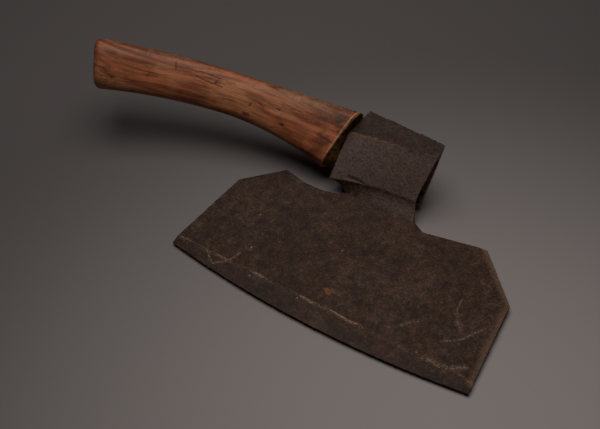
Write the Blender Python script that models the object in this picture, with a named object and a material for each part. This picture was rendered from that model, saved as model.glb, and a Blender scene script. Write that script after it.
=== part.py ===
"""A one-handed broad axe: a forged blade ground on one face, a bent-up strap eye and a curved handle.

The blade lies on its flat back. The origin is on that back, on the centre line of the blade. X runs
along the cutting edge, from the handle's side to the eye's open end. Y runs from the cutting edge to
the poll. Z is up, away from the flat back. Lengths are in metres and angles in radians.
"""

import math
from collections import namedtuple

import bmesh
import bpy
from mathutils import Vector

# Blade, seen from above
EDGE_LENGTH = 0.3068
EDGE_BULGE = 0.0118
TOE_Y = 0.0034
HEEL_Y = 0.0014
ORIGIN_Y = 0.080
TOE_SIDE_HEIGHT = 0.1025
TOE_SIDE_DRAW = 0.0096
TOE_CLIP_WIDTH = 0.0345
TOE_CLIP_HEIGHT = 0.037
HEEL_SIDE_HEIGHT = 0.1005
HEEL_SIDE_DRAW = 0.0042
HEEL_CLIP_WIDTH = 0.0425
HEEL_CLIP_HEIGHT = 0.0485
TOE_SHOULDER_Y = 0.1335
TOE_DIP_SHARE = 0.38
TOE_RISE_SHARE = 0.66
HEEL_SHOULDER_Y = 0.1365
HEEL_DIP_REACH = 0.0135
HEEL_RISE_SHARE = 0.55
NECK_LEFT = -0.0435
NECK_RIGHT = 0.0322
NECK_START = 0.144
NECK_ROOT = 0.013
NECK_ROOT_DRAW = 0.006
NOTCH_REACH = 0.004
NOTCH_DROP = 0.006
NECK_FILLET = 0.009
FOOT_INSET = 0.0020

# Blade, through its thickness
BLADE_THICKNESS = 0.0078
TAPER_START = 0.120
TAPER_DROP = 0.0012
SWEEP_START = 0.045
BACK_SWEEP = 0.0030
BEVEL_LINE = 0.0105
EDGE_LAND = 0.0009
RIM_WIDTH = 0.0085
RIM_DROP = 0.0016

# Eye strap: one plate that stands on the neck, leans back as the cheek, folds over at the poll and
# comes back underneath, with its tail turned toward the neck
EYE_LEFT = -0.0632
EYE_RIGHT = 0.0299
STRAP_WALL = 0.0042
FOOT_EDGE = 0.0010
NECK_WALL_LOW = 0.0105
NECK_WALL_HIGH = 0.0095
FRONT_TO_BACK_DROP = 0.0025
LIP_FADE = 2.2

EyeEnd = namedtuple(
    "EyeEnd",
    "riser_height riser_lean riser_bow lip_reach lip_wall cheek_width cheek_slope cheek_start"
    " ridge_wall setback far_reach poll_width poll_slope poll_depth"
    " under_width under_slope tail_width tail_slope",
)
LEFT_END = EyeEnd(
    riser_height=0.0109,
    riser_lean=0.0045,
    riser_bow=-0.0010,
    lip_reach=-0.0011,
    lip_wall=0.0070,
    cheek_width=0.0511,
    cheek_slope=math.radians(35.5),
    cheek_start=0.0060,
    ridge_wall=0.0087,
    setback=0.0,
    far_reach=-0.0055,
    poll_width=0.0345,
    poll_slope=math.radians(8.4),
    poll_depth=0.0160,
    under_width=0.0628,
    under_slope=math.radians(53.0),
    tail_width=0.0060,
    tail_slope=math.radians(24.0),
)
RIGHT_END = EyeEnd(
    riser_height=0.0125,
    riser_lean=-0.0118,
    riser_bow=-0.0016,
    lip_reach=-0.0036,
    lip_wall=0.0042,
    cheek_width=0.0469,
    cheek_slope=math.radians(44.7),
    cheek_start=0.0100,
    ridge_wall=0.0042,
    setback=0.0032,
    far_reach=0.0,
    poll_width=0.0189,
    poll_slope=math.radians(5.3),
    poll_depth=0.0177,
    under_width=0.0583,
    under_slope=math.radians(49.2),
    tail_width=0.0043,
    tail_slope=math.radians(61.0),
)

# Handle
TENON_CLEARANCE = 0.0004
TENON_SHORT_OF_NECK_LEFT = 0.0120
TENON_SHORT_OF_NECK_RIGHT = 0.0040
TENON_RECESS = 0.0010
SHOULDER_GAP = 0.0012
SHOULDER_RUN = 0.0040
SHOULDER_SKEW = 0.0068
SHOULDER_SKEW_TO = 0.10
HANDLE_LENGTH = 0.2510
HANDLE_SWAY = 0.0634
SWAY_POWER = 2.05
HANDLE_RISE = 0.0355
GRIP_SLOPE = math.radians(38.0)
SHOULDER_LIFT_Y = -0.0042
SHOULDER_LIFT_Z = 0.0052
WAIST_AT = 0.47
SHOULDER_WIDTH = 0.0654
SHOULDER_FLARE_POWER = 1.7
SHOULDER_BELLY = 0.0004
WAIST_WIDTH = 0.0445
BUTT_WIDTH = 0.0506
BUTT_FLARE_POWER = 1.5
BUTT_SKEW = 0.0026
BUTT_SKEW_FROM = 0.85
SHOULDER_THICKNESS = 0.0327
WAIST_THICKNESS = 0.0271
BUTT_THICKNESS = 0.0307
BUTT_ROUND = 0.0066
TENON_CORNER = 0.0008
GRIP_WIDE_ROUNDING = 0.44
GRIP_THICK_ROUNDING = 0.46
SHOULDER_WIDE_ROUNDING = 0.36
SHOULDER_THICK_ROUNDING = 0.44

# Wedge, driven into the tenon from the open end of the eye
WEDGE_DEPTH = 0.040
WEDGE_THICKNESS = 0.0028
WEDGE_TIP_THICKNESS = 0.0010
WEDGE_INSET = 0.22
WEDGE_PROUD = 0.0004
KERF_OVERRUN = 0.004
KERF_EXTRA_DEPTH = 0.001

GAP = 0.0003
CUTTER_REACH = 0.4

# Mesh fineness
EDGE_STEPS = 48
EYE_STEPS = 12
LONG_STEPS = 8
CORNER_STEPS = 10
SIDE_STEPS = 3
GRIP_STEPS = 38
BUTT_STEPS = 5
WEDGE_STEPS = 6

FOOT_Z = BLADE_THICKNESS + GAP


def clear_scene():
    for old in list(bpy.data.objects):
        bpy.data.objects.remove(old, do_unlink=True)


def new_collection(name):
    found = bpy.data.collections.new(name)
    bpy.context.scene.collection.children.link(found)
    return found


def material(name, colour, roughness, metallic):
    made = bpy.data.materials.new(name)
    made.use_nodes = True
    shader = made.node_tree.nodes["Principled BSDF"]
    shader.inputs["Base Color"].default_value = (*colour, 1.0)
    shader.inputs["Roughness"].default_value = roughness
    shader.inputs["Metallic"].default_value = metallic
    return made


def add_mesh(name, points, faces, collection):
    """One object from points and faces, with its faces turned outward and its origin at the world's."""
    mesh = bpy.data.meshes.new(name)
    mesh.from_pydata([tuple(p) for p in points], [], faces)
    shape = bmesh.new()
    shape.from_mesh(mesh)
    bmesh.ops.remove_doubles(shape, verts=shape.verts, dist=0.000001)
    bmesh.ops.recalc_face_normals(shape, faces=shape.faces)
    shape.to_mesh(mesh)
    shape.free()
    made = bpy.data.objects.new(name, mesh)
    collection.objects.link(made)
    return made


def as_cutter(cutter):
    cutter.hide_render = True
    cutter.display_type = "WIRE"
    return cutter


def cut(target, cutter):
    step = target.modifiers.new("Cut " + cutter.name, "BOOLEAN")
    step.operation = "DIFFERENCE"
    step.object = cutter


def loft(name, rings, collection):
    """A closed solid through rings that have the same number of points, capped with triangle fans."""
    count = len(rings[0])
    points = [p for ring in rings for p in ring]
    faces = []
    for i in range(len(rings) - 1):
        for j in range(count):
            k = (j + 1) % count
            faces.append((i * count + j, i * count + k, (i + 1) * count + k, (i + 1) * count + j))
    for first, ring in ((0, rings[0]), ((len(rings) - 1) * count, rings[-1])):
        centre = len(points)
        points.append(sum(ring, Vector()) / count)
        faces += [(first + j, first + (j + 1) % count, centre) for j in range(count)]
    return add_mesh(name, points, faces, collection)


def mix(a, b, share):
    return a + (b - a) * share


def at(x, y, z):
    """A point given from the middle of the cutting edge, in the part's frame."""
    return Vector((x, y - ORIGIN_Y, z))


# Heights of the blade's two faces

BACK_LOW_Y = min(TOE_Y, HEEL_Y) - EDGE_BULGE
BACK_RISE = BACK_SWEEP / (SWEEP_START - BACK_LOW_Y)
TOP_FALL = TAPER_DROP / (TAPER_START - BEVEL_LINE)


def back_z(y):
    return max(0.0, (SWEEP_START - y) * BACK_RISE)


def top_z(y):
    return BLADE_THICKNESS - max(0.0, TAPER_START - y) * TOP_FALL


# Blade outline


def toe_side_x(y):
    return -EDGE_LENGTH / 2 + TOE_SIDE_DRAW * y / TOE_SIDE_HEIGHT


def heel_side_x(y):
    return EDGE_LENGTH / 2 - HEEL_SIDE_DRAW * y / HEEL_SIDE_HEIGHT


def edge_point(share):
    """The convex cutting edge, with share from 0 at the toe to 1 at the heel."""
    bulge = EDGE_BULGE * 4 * share * (1 - share)
    y = mix(TOE_Y, HEEL_Y, share) - bulge
    return Vector((mix(toe_side_x(TOE_Y), heel_side_x(HEEL_Y), share), y))


TOE_CORNER = Vector((toe_side_x(TOE_SIDE_HEIGHT), TOE_SIDE_HEIGHT))
TOE_CLIP = TOE_CORNER + Vector((TOE_CLIP_WIDTH, TOE_CLIP_HEIGHT))
HEEL_CORNER = Vector((heel_side_x(HEEL_SIDE_HEIGHT), HEEL_SIDE_HEIGHT))
HEEL_CLIP = HEEL_CORNER + Vector((-HEEL_CLIP_WIDTH, HEEL_CLIP_HEIGHT))
NECK_END = NECK_START + NECK_ROOT


def blade_outline():
    """The plate from the bevel line up, anticlockwise from the heel's end of that line."""
    low = BEVEL_LINE + GAP
    heel_dip_x = NECK_RIGHT + HEEL_DIP_REACH
    heel_rise_x = mix(heel_dip_x, HEEL_CLIP.x, HEEL_RISE_SHARE)
    heel_rise_y = mix(HEEL_SHOULDER_Y, HEEL_CLIP.y, HEEL_RISE_SHARE)
    fillet_end = Vector((NECK_RIGHT + NECK_FILLET, mix(HEEL_SHOULDER_Y, NECK_START, 0.3)))
    fillet_middle = Vector((NECK_RIGHT + NECK_FILLET * 0.35, mix(HEEL_SHOULDER_Y, NECK_START, 0.75)))
    return [
        Vector((heel_side_x(low), low)),
        HEEL_CORNER,
        HEEL_CLIP,
        Vector((heel_rise_x, heel_rise_y)),
        Vector((heel_dip_x, HEEL_SHOULDER_Y)),
        fillet_end,
        fillet_middle,
        Vector((NECK_RIGHT, NECK_START + FOOT_INSET)),
        Vector((NECK_RIGHT - NECK_ROOT_DRAW, NECK_END)),
        Vector((NECK_LEFT + NECK_ROOT_DRAW, NECK_END)),
        Vector((NECK_LEFT, NECK_START)),
        Vector((NECK_LEFT - NOTCH_REACH, NECK_START - NOTCH_DROP)),
        Vector((mix(TOE_CLIP.x, NECK_LEFT, TOE_RISE_SHARE), TOE_SHOULDER_Y)),
        Vector((mix(TOE_CLIP.x, NECK_LEFT, TOE_DIP_SHARE), TOE_SHOULDER_Y)),
        TOE_CLIP,
        TOE_CORNER,
        Vector((toe_side_x(low), low)),
    ]


def plate(name, outline, thickness, collection):
    """A flat outline, extruded up from z = 0 and made a mesh."""
    curve = bpy.data.curves.new(name, "CURVE")
    curve.dimensions = "2D"
    curve.fill_mode = "BOTH"
    curve.extrude = thickness / 2
    line = curve.splines.new("POLY")
    line.points.add(len(outline) - 1)
    for point, place in zip(line.points, outline):
        point.co = (place.x, place.y - ORIGIN_Y, 0.0, 1.0)
    line.use_cyclic_u = True
    guide = bpy.data.objects.new(name + " outline", curve)
    guide.location.z = thickness / 2
    collection.objects.link(guide)
    bpy.context.view_layer.update()
    seen = guide.evaluated_get(bpy.context.evaluated_depsgraph_get())
    mesh = bpy.data.meshes.new_from_object(seen)
    shape = bmesh.new()
    shape.from_mesh(mesh)
    bmesh.ops.remove_doubles(shape, verts=shape.verts, dist=0.00001)
    bmesh.ops.recalc_face_normals(shape, faces=shape.faces)
    shape.to_mesh(mesh)
    shape.free()
    made = bpy.data.objects.new(name, mesh)
    made.matrix_world = guide.matrix_world.copy()
    collection.objects.link(made)
    bpy.data.objects.remove(guide, do_unlink=True)
    return made


def prism_across(name, section, collection):
    """A cutter with a section in Y and Z, running right across the blade in X."""
    rings = [[at(x, y, z) for y, z in section] for x in (-CUTTER_REACH, CUTTER_REACH)]
    return as_cutter(loft(name, rings, collection))


def taper_cutter(collection):
    above = BLADE_THICKNESS + 0.02
    low, high = -0.05, TAPER_START + 0.03
    fall = TOP_FALL
    section = [
        (low, BLADE_THICKNESS - (TAPER_START - low) * fall),
        (high, BLADE_THICKNESS + (high - TAPER_START) * fall),
        (high, above),
        (low, above),
    ]
    return prism_across("TaperCutter", section, collection)


def sweep_cutter(collection):
    below = -0.02
    low, high = -0.05, SWEEP_START + 0.02
    section = [
        (low, (SWEEP_START - low) * BACK_RISE),
        (high, (SWEEP_START - high) * BACK_RISE),
        (high, below),
        (low, below),
    ]
    return prism_across("SweepCutter", section, collection)


def rim_cutter(name, start, end, collection):
    """A cutter that slopes the top face down to the side that runs from start to end."""
    along = (end - start).normalized()
    inward = Vector((-along.y, along.x))
    overrun = 0.004
    outset = 0.004
    depth_slope = RIM_DROP / RIM_WIDTH
    rings = []
    for place in (start - along * overrun, end + along * overrun):
        inner = place + inward * RIM_WIDTH
        outer = place - inward * outset
        inner_z = top_z(inner.y)
        outer_z = inner_z - depth_slope * (RIM_WIDTH + outset)
        rings.append(
            [
                at(inner.x, inner.y, inner_z),
                at(outer.x, outer.y, outer_z),
                at(outer.x, outer.y, BLADE_THICKNESS + 0.01),
                at(inner.x, inner.y, BLADE_THICKNESS + 0.01),
            ]
        )
    return as_cutter(loft(name, rings, collection))


def cutting_steel(collection):
    """The ground steel strip: straight where it is welded on, convex at the cutting edge."""
    rings = []
    for i in range(EDGE_STEPS + 1):
        share = i / EDGE_STEPS
        weld_x = mix(toe_side_x(BEVEL_LINE), heel_side_x(BEVEL_LINE), share)
        edge = edge_point(share)
        rings.append(
            [
                at(weld_x, BEVEL_LINE, back_z(BEVEL_LINE)),
                at(weld_x, BEVEL_LINE, top_z(BEVEL_LINE)),
                at(edge.x, edge.y, back_z(edge.y) + EDGE_LAND),
                at(edge.x, edge.y, back_z(edge.y)),
            ]
        )
    return loft("cutting_steel", rings, collection)


# Eye strap


def turned(angle):
    return Vector((math.cos(angle), math.sin(angle)))


def riser_front(end, share):
    """The neck's front line at one end of the eye, from the foot (0) to the cheek (1), in Y and Z."""
    y = NECK_START - end.riser_lean * share - end.riser_bow * 4 * share * (1 - share)
    return Vector((y, FOOT_Z + FOOT_EDGE + end.riser_height * share))


def eye_corners(end):
    """The strap's corner points at one end, in Y and Z: outer ones first, then those of the hollow."""
    cheek_way = turned(end.cheek_slope)
    cheek_in = Vector((cheek_way.y, -cheek_way.x))
    under_way = -turned(end.under_slope)
    under_in = Vector((under_way.y, -under_way.x))
    tail_way = -turned(end.tail_slope)
    tail_in = Vector((tail_way.y, -tail_way.x))
    lip = riser_front(end, 1.0)
    ridge = lip + cheek_way * end.cheek_width
    far = ridge + turned(end.poll_slope) * end.poll_width
    heel = far + under_way * end.under_width
    tail = heel + tail_way * end.tail_width
    cheek_low = lip + cheek_in * end.lip_wall + cheek_way * end.cheek_start
    cheek_high = ridge + cheek_in * end.ridge_wall - cheek_way * end.setback
    under_high = far + under_in * STRAP_WALL + under_way * end.poll_depth
    under_low = heel + under_in * STRAP_WALL
    tail_inside = tail + tail_in * STRAP_WALL
    return {
        "outer": (lip, ridge, far, heel, tail),
        "inner": (cheek_low, cheek_high, under_high, under_low, tail_inside),
    }


def eye_x(end, neck_x, face_x, outward):
    """How far along X each station of the strap lies at one end, as a function of the riser's share."""
    lip_x = face_x + outward * end.lip_reach
    return lambda share: mix(neck_x, lip_x, share)


def strap_stations(end, neck_x, face_x, outward):
    """Pairs of outer and inner points along the strap at one end of the eye, from foot to tail."""
    corners = eye_corners(end)
    lip, ridge, far, heel, tail = corners["outer"]
    cheek_low, cheek_high, under_high, under_low, tail_inside = corners["inner"]
    place_x = eye_x(end, neck_x, face_x, outward)
    shares = (0.0, 0.25, 0.5, 0.75)
    fronts = [riser_front(end, share) for share in shares]
    backs = [
        Vector((NECK_START, FOOT_Z)),
        Vector((NECK_END, FOOT_Z)),
        fronts[2] + Vector((NECK_WALL_LOW, -FRONT_TO_BACK_DROP)),
        fronts[3] + Vector((NECK_WALL_HIGH, -FRONT_TO_BACK_DROP)),
    ]
    draws = (0.0, NECK_ROOT_DRAW, NECK_ROOT_DRAW * 0.7, NECK_ROOT_DRAW * 0.5)
    pairs = []
    for share, front, back, draw in zip(shares, fronts, backs, draws):
        x = place_x(share)
        pairs.append((at(x, front.x, front.y), at(x - outward * draw, back.x, back.y)))
    x = place_x(1.0)
    pairs.append((at(x, lip.x, lip.y), at(x, cheek_low.x, cheek_low.y)))
    pairs.append((at(face_x, ridge.x, ridge.y), at(face_x, cheek_high.x, cheek_high.y)))
    far_x = face_x + outward * end.far_reach
    for outer, inner in ((far, under_high), (heel, under_low), (tail, tail_inside)):
        pairs.append((at(far_x, outer.x, outer.y), at(far_x, inner.x, inner.y)))
    return pairs


def subdivided(pairs, steps):
    """The same pairs with each stretch divided into its own number of steps."""
    found = []
    for (a, b), (c, d), count in zip(pairs, pairs[1:], steps):
        found += [(mix(a, c, i / count), mix(b, d, i / count)) for i in range(count)]
    return found + [pairs[-1]]


STRAP_STEPS = (1, 2, 2, 2, LONG_STEPS, 4, LONG_STEPS, 3)


def strap_end_pairs():
    left = strap_stations(LEFT_END, NECK_LEFT, EYE_LEFT, -1.0)
    right = strap_stations(RIGHT_END, NECK_RIGHT, EYE_RIGHT, 1.0)
    return subdivided(left, STRAP_STEPS), subdivided(right, STRAP_STEPS)


def lip_shares():
    """How far each outer point of the strap follows the lip's fade: fully up to the lip, and less and
    less from there to the ridge."""
    riser_steps = sum(STRAP_STEPS[:4])
    later_points = sum(STRAP_STEPS[5:]) + 1
    return [1.0] * riser_steps + [1 - i / LONG_STEPS for i in range(LONG_STEPS)] + [0.0] * later_points


def between_ends(left, right, share, lip_share):
    """An outer point between the eye's ends. The lip that overhangs at the left fades early in X."""
    faded = 1 - (1 - share) ** LIP_FADE
    blend = mix(share, faded, lip_share)
    return Vector((mix(left.x, right.x, share), mix(left.y, right.y, blend), mix(left.z, right.z, blend)))


def eye_strap(collection):
    left, right = strap_end_pairs()
    fades = lip_shares()
    rings = []
    for i in range(EYE_STEPS + 1):
        share = i / EYE_STEPS
        outer = [between_ends(a, c, share, fade) for (a, _), (c, _), fade in zip(left, right, fades)]
        inner = [mix(b, d, share) for (_, b), (_, d) in zip(left, right)]
        rings.append(outer + inner[::-1])
    count = len(rings[0])
    points = [p for ring in rings for p in ring]
    faces = []
    for i in range(EYE_STEPS):
        for j in range(count):
            k = (j + 1) % count
            faces.append((i * count + j, i * count + k, (i + 1) * count + k, (i + 1) * count + j))
    for first in (0, EYE_STEPS * count):
        for j in range(len(left) - 1):
            across = count - 1 - j
            faces.append((first + j, first + j + 1, first + across - 1, first + across))
    return add_mesh("eye_strap", points, faces, collection)


# Handle


def hollow_corners(end, face_x, outward):
    """The hollow's four corners at one end of the eye: cheek side low and high, under side high and low."""
    corners = eye_corners(end)["inner"][:4]
    lip_x = face_x + outward * end.lip_reach
    far_x = face_x + outward * end.far_reach
    xs = (lip_x, face_x, far_x, far_x)
    return [at(x, c.x, c.y) for x, c in zip(xs, corners)]


def inset(quad, by):
    """A quad whose corners have moved inward along both their sides, by the clearance."""
    found = []
    for i, corner in enumerate(quad):
        before = (quad[i - 1] - corner).normalized()
        after = (quad[(i + 1) % 4] - corner).normalized()
        sine = max(0.35, before.cross(after).length)
        found.append(corner + (before + after) * (by / sine))
    return found


def tenon_corners(share):
    """The tenon's corners: share 0 at the eye's left end, 1 at its right."""
    left = hollow_corners(LEFT_END, EYE_LEFT, -1.0)
    right = hollow_corners(RIGHT_END, EYE_RIGHT, 1.0)
    quad = inset([mix(a, b, share) for a, b in zip(left, right)], TENON_CLEARANCE)
    short = mix(TENON_SHORT_OF_NECK_LEFT, TENON_SHORT_OF_NECK_RIGHT, share)
    low_top, high_top, high_under, low_under = quad
    low_top = low_top + (high_top - low_top).normalized() * short
    low_under = low_under + (high_under - low_under).normalized() * short
    return [low_top, high_top, high_under, low_under]


def rounded_ring(quad, wide_rounding, thick_rounding):
    """A ring of points round a quad, with its corners rounded by a length along each kind of side.

    The quad's first and third sides are the wide ones.
    """
    ring = []
    for i, point in enumerate(quad):
        before = (quad[i - 1] - point).normalized()
        after = (quad[(i + 1) % 4] - point).normalized()
        wide_follows = i % 2 == 0
        start = point + before * (thick_rounding if wide_follows else wide_rounding)
        end = point + after * (wide_rounding if wide_follows else thick_rounding)
        for step in range(CORNER_STEPS):
            share = step / (CORNER_STEPS - 1)
            ring.append(mix(mix(start, point, share), mix(point, end, share), share))
        following = quad[(i + 1) % 4] - after * (wide_rounding if wide_follows else thick_rounding)
        ring += [mix(end, following, s / SIDE_STEPS) for s in range(1, SIDE_STEPS)]
    return ring


def waisted(share, shoulder, waist, butt):
    """A size that narrows from the shoulder to the waist and swells again to the butt."""
    if share < WAIST_AT:
        return waist + (shoulder - waist) * (1 - share / WAIST_AT) ** SHOULDER_FLARE_POWER
    return waist + (butt - waist) * ((share - WAIST_AT) / (1 - WAIST_AT)) ** BUTT_FLARE_POWER


def shoulder_centre():
    corners = tenon_corners(0.0)
    middle = sum(corners, Vector()) / 4
    x = EYE_LEFT - SHOULDER_GAP - SHOULDER_RUN
    return Vector((x, middle.y + SHOULDER_LIFT_Y, middle.z + SHOULDER_LIFT_Z))


def grip_centre(share):
    """The grip's centre line, from the shoulder to the butt: it sways toward the edge and rises."""
    start = shoulder_centre()
    sway = HANDLE_SWAY * share**SWAY_POWER
    to_waist = min(1.0, share / WAIST_AT)
    belly = SHOULDER_BELLY * 27 / 4 * to_waist * (1 - to_waist) ** 2
    return start + Vector((-HANDLE_LENGTH * share, -sway - belly, HANDLE_RISE * share - belly))


def grip_frame(share):
    """The grip's length, width and thickness directions at a place along it."""
    step = 0.01
    along = (grip_centre(min(1.0, share + step)) - grip_centre(max(0.0, share - step))).normalized()
    wide = Vector((0.0, math.cos(GRIP_SLOPE), math.sin(GRIP_SLOPE)))
    wide = (wide - along * wide.dot(along)).normalized()
    thick = along.cross(wide).normalized()
    if thick.z > 0:
        thick = -thick
    return along, wide, thick


def grip_skew(share):
    """How far the section leans along X: the shoulder and the butt aren't cut square."""
    at_shoulder = SHOULDER_SKEW * max(0.0, 1 - share / SHOULDER_SKEW_TO)
    at_butt = BUTT_SKEW * max(0.0, (share - BUTT_SKEW_FROM) / (1 - BUTT_SKEW_FROM))
    return at_shoulder - at_butt


def grip_quad(share, shrink=0.0, ahead=0.0):
    along, wide, thick = grip_frame(share)
    half_width = waisted(share, SHOULDER_WIDTH, WAIST_WIDTH, BUTT_WIDTH) / 2 - shrink
    half_thick = waisted(share, SHOULDER_THICKNESS, WAIST_THICKNESS, BUTT_THICKNESS) / 2 - shrink
    centre = grip_centre(share) + along * ahead
    lean = Vector((grip_skew(share), 0.0, 0.0))
    return [
        centre - wide * half_width - thick * half_thick - lean,
        centre + wide * half_width - thick * half_thick + lean,
        centre + wide * half_width + thick * half_thick + lean,
        centre - wide * half_width + thick * half_thick - lean,
    ]


def grip_ring(share, shrink=0.0, ahead=0.0):
    """The grip's oval section, a little squarer near the shoulder."""
    to_waist = min(1.0, share / WAIST_AT)
    width = waisted(share, SHOULDER_WIDTH, WAIST_WIDTH, BUTT_WIDTH) - 2 * shrink
    thickness = waisted(share, SHOULDER_THICKNESS, WAIST_THICKNESS, BUTT_THICKNESS) - 2 * shrink
    wide = mix(SHOULDER_WIDE_ROUNDING, GRIP_WIDE_ROUNDING, to_waist) * width
    thick = mix(SHOULDER_THICK_ROUNDING, GRIP_THICK_ROUNDING, to_waist) * thickness
    return rounded_ring(grip_quad(share, shrink, ahead), wide, thick)


def handle_rings():
    eye_length = EYE_RIGHT - EYE_LEFT
    last = 1.0 - TENON_RECESS / eye_length
    first = -SHOULDER_GAP / eye_length
    rings = []
    for i in range(EYE_STEPS + 1):
        share = mix(last, first, i / EYE_STEPS)
        rings.append(rounded_ring(tenon_corners(share), TENON_CORNER, TENON_CORNER))
    rings += [grip_ring(i / GRIP_STEPS) for i in range(GRIP_STEPS + 1)]
    for i in range(1, BUTT_STEPS + 1):
        turn = math.radians(75) * i / BUTT_STEPS
        shrink = BUTT_ROUND * (1 - math.cos(turn))
        rings.append(grip_ring(1.0, shrink=shrink, ahead=BUTT_ROUND * math.sin(turn)))
    return rings


# Wedge


def wedge_ring(share, thickness, margin):
    """The wedge's section in the tenon, in the middle of its thickness."""
    low_top, high_top, high_under, low_under = tenon_corners(share)
    low = mix(low_top, low_under, 0.5)
    high = mix(high_top, high_under, 0.5)
    across = ((low_under - low_top).normalized() + (high_under - high_top).normalized()).normalized()
    along = (high - low).normalized()
    start = mix(low, high, WEDGE_INSET) - along * margin
    end = mix(low, high, 1 - WEDGE_INSET) + along * margin
    half = across * (thickness / 2 + margin)
    return [start - half, end - half, end + half, start + half]


def wedge_rings(margin, proud, tip_extra):
    eye_length = EYE_RIGHT - EYE_LEFT
    mouth = 1.0 - TENON_RECESS / eye_length + proud / eye_length
    tip = 1.0 - (WEDGE_DEPTH + tip_extra) / eye_length
    rings = []
    for i in range(WEDGE_STEPS + 1):
        share = i / WEDGE_STEPS
        thickness = mix(WEDGE_THICKNESS, WEDGE_TIP_THICKNESS, share)
        rings.append(wedge_ring(mix(mouth, tip, share), thickness, margin))
    return rings


def build():
    clear_scene()
    parts = new_collection("BroadAxe")
    cutters = new_collection("Cutters")

    iron = material("forged_iron", (0.075, 0.066, 0.060), 0.72, 0.85)
    eye_iron = material("eye_iron", (0.085, 0.077, 0.070), 0.70, 0.85)
    steel = material("edge_steel", (0.095, 0.085, 0.076), 0.60, 0.90)
    wood = material("handle_wood", (0.20, 0.085, 0.038), 0.42, 0.0)
    wedge_wood = material("wedge_wood", (0.13, 0.070, 0.038), 0.70, 0.0)

    blade = plate("blade_body", blade_outline(), BLADE_THICKNESS, parts)
    cut(blade, taper_cutter(cutters))
    cut(blade, sweep_cutter(cutters))
    bit = cutting_steel(parts)
    heel_low = Vector((heel_side_x(HEEL_Y), HEEL_Y))
    side_rim = rim_cutter("HeelSideCutter", heel_low, HEEL_CORNER, cutters)
    clip_rim = rim_cutter("HeelClipCutter", HEEL_CORNER, HEEL_CLIP, cutters)
    cut(blade, side_rim)
    cut(blade, clip_rim)
    cut(bit, side_rim)

    strap = eye_strap(parts)
    handle = loft("handle", handle_rings(), parts)
    kerf = as_cutter(loft("KerfCutter", wedge_rings(GAP, KERF_OVERRUN, KERF_EXTRA_DEPTH), cutters))
    cut(handle, kerf)
    wedge = loft("eye_wedge", wedge_rings(0.0, WEDGE_PROUD, 0.0), parts)

    for piece, look in ((blade, iron), (bit, steel), (strap, eye_iron), (handle, wood), (wedge, wedge_wood)):
        piece.data.materials.append(look)
    handle.data.shade_smooth()
    handle.data.set_sharp_from_angle(angle=math.radians(35))


build()
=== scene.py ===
"""The looks of a one-handed broad axe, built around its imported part.

Lengths are in metres, in the part's own frame: X along the cutting edge, Y from the edge to the poll,
Z up from the flat back that the axe lies on.
"""

import math
from collections import namedtuple

import bmesh
import bpy
import numpy as np
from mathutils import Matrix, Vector, noise


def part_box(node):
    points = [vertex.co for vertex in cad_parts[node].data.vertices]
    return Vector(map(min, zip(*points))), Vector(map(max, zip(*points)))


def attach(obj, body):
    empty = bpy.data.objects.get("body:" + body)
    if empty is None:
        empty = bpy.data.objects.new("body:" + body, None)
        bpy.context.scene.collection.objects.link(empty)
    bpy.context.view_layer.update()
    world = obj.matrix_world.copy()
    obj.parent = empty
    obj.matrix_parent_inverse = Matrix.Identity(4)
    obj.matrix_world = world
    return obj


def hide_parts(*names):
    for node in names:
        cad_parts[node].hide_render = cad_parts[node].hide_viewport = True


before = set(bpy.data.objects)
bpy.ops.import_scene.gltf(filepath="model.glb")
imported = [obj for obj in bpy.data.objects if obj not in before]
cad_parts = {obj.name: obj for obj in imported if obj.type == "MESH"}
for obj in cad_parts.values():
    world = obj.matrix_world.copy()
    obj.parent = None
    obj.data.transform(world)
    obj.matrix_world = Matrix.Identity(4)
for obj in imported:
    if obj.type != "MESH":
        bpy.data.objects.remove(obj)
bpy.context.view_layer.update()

FINENESS = 1.0
PLATE_VOXEL = 0.0010 * FINENESS
STEEL_VOXEL = 0.0006 * FINENESS
STRAP_VOXEL = 0.00068 * FINENESS
HANDLE_VOXEL = 0.00085 * FINENESS
WEDGE_VOXEL = 0.0004 * FINENESS
SAME_POINT = 0.000002
SMOOTH_SHARE = 0.5


# Mesh helpers


def weld_of(node):
    """A copy of a CAD node's mesh with its split corners joined."""
    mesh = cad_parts[node].data.copy()
    shape = bmesh.new()
    shape.from_mesh(mesh)
    bmesh.ops.remove_doubles(shape, verts=shape.verts, dist=SAME_POINT)
    shape.to_mesh(mesh)
    shape.free()
    return mesh


def applied(obj):
    """Makes the modifiers' result the object's own mesh."""
    seen = obj.evaluated_get(bpy.context.evaluated_depsgraph_get())
    mesh = bpy.data.meshes.new_from_object(seen)
    obj.modifiers.clear()
    obj.data = mesh
    return obj


def fine_copy(node, name, voxel, smoothing, reshape=None):
    """An even, fine mesh of a CAD node's shape, with its corners kept and then eased like worn ones."""
    guide = bpy.data.objects.new(name + "_guide", weld_of(node))
    if reshape:
        put(guide.data, reshape(points_of(guide.data)))
    bpy.context.scene.collection.objects.link(guide)
    piece = bpy.data.objects.new(name, guide.data.copy())
    piece.data.materials.clear()
    bpy.context.scene.collection.objects.link(piece)
    remesh = piece.modifiers.new("Even", "REMESH")
    remesh.mode = "VOXEL"
    remesh.voxel_size = voxel
    wrap = piece.modifiers.new("Onto the solid", "SHRINKWRAP")
    wrap.target = guide
    wrap.wrap_method = "NEAREST_SURFACEPOINT"
    ease = piece.modifiers.new("Ease corners", "SMOOTH")
    ease.factor = SMOOTH_SHARE
    ease.iterations = smoothing
    applied(piece)
    bpy.data.objects.remove(guide)
    for polygon in piece.data.polygons:
        polygon.use_smooth = True
    return piece


def points_of(mesh):
    """The mesh's points as rows of X, Y and Z."""
    flat = np.empty(len(mesh.vertices) * 3, np.float32)
    mesh.vertices.foreach_get("co", flat)
    return flat.reshape(-1, 3).astype(float)


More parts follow.
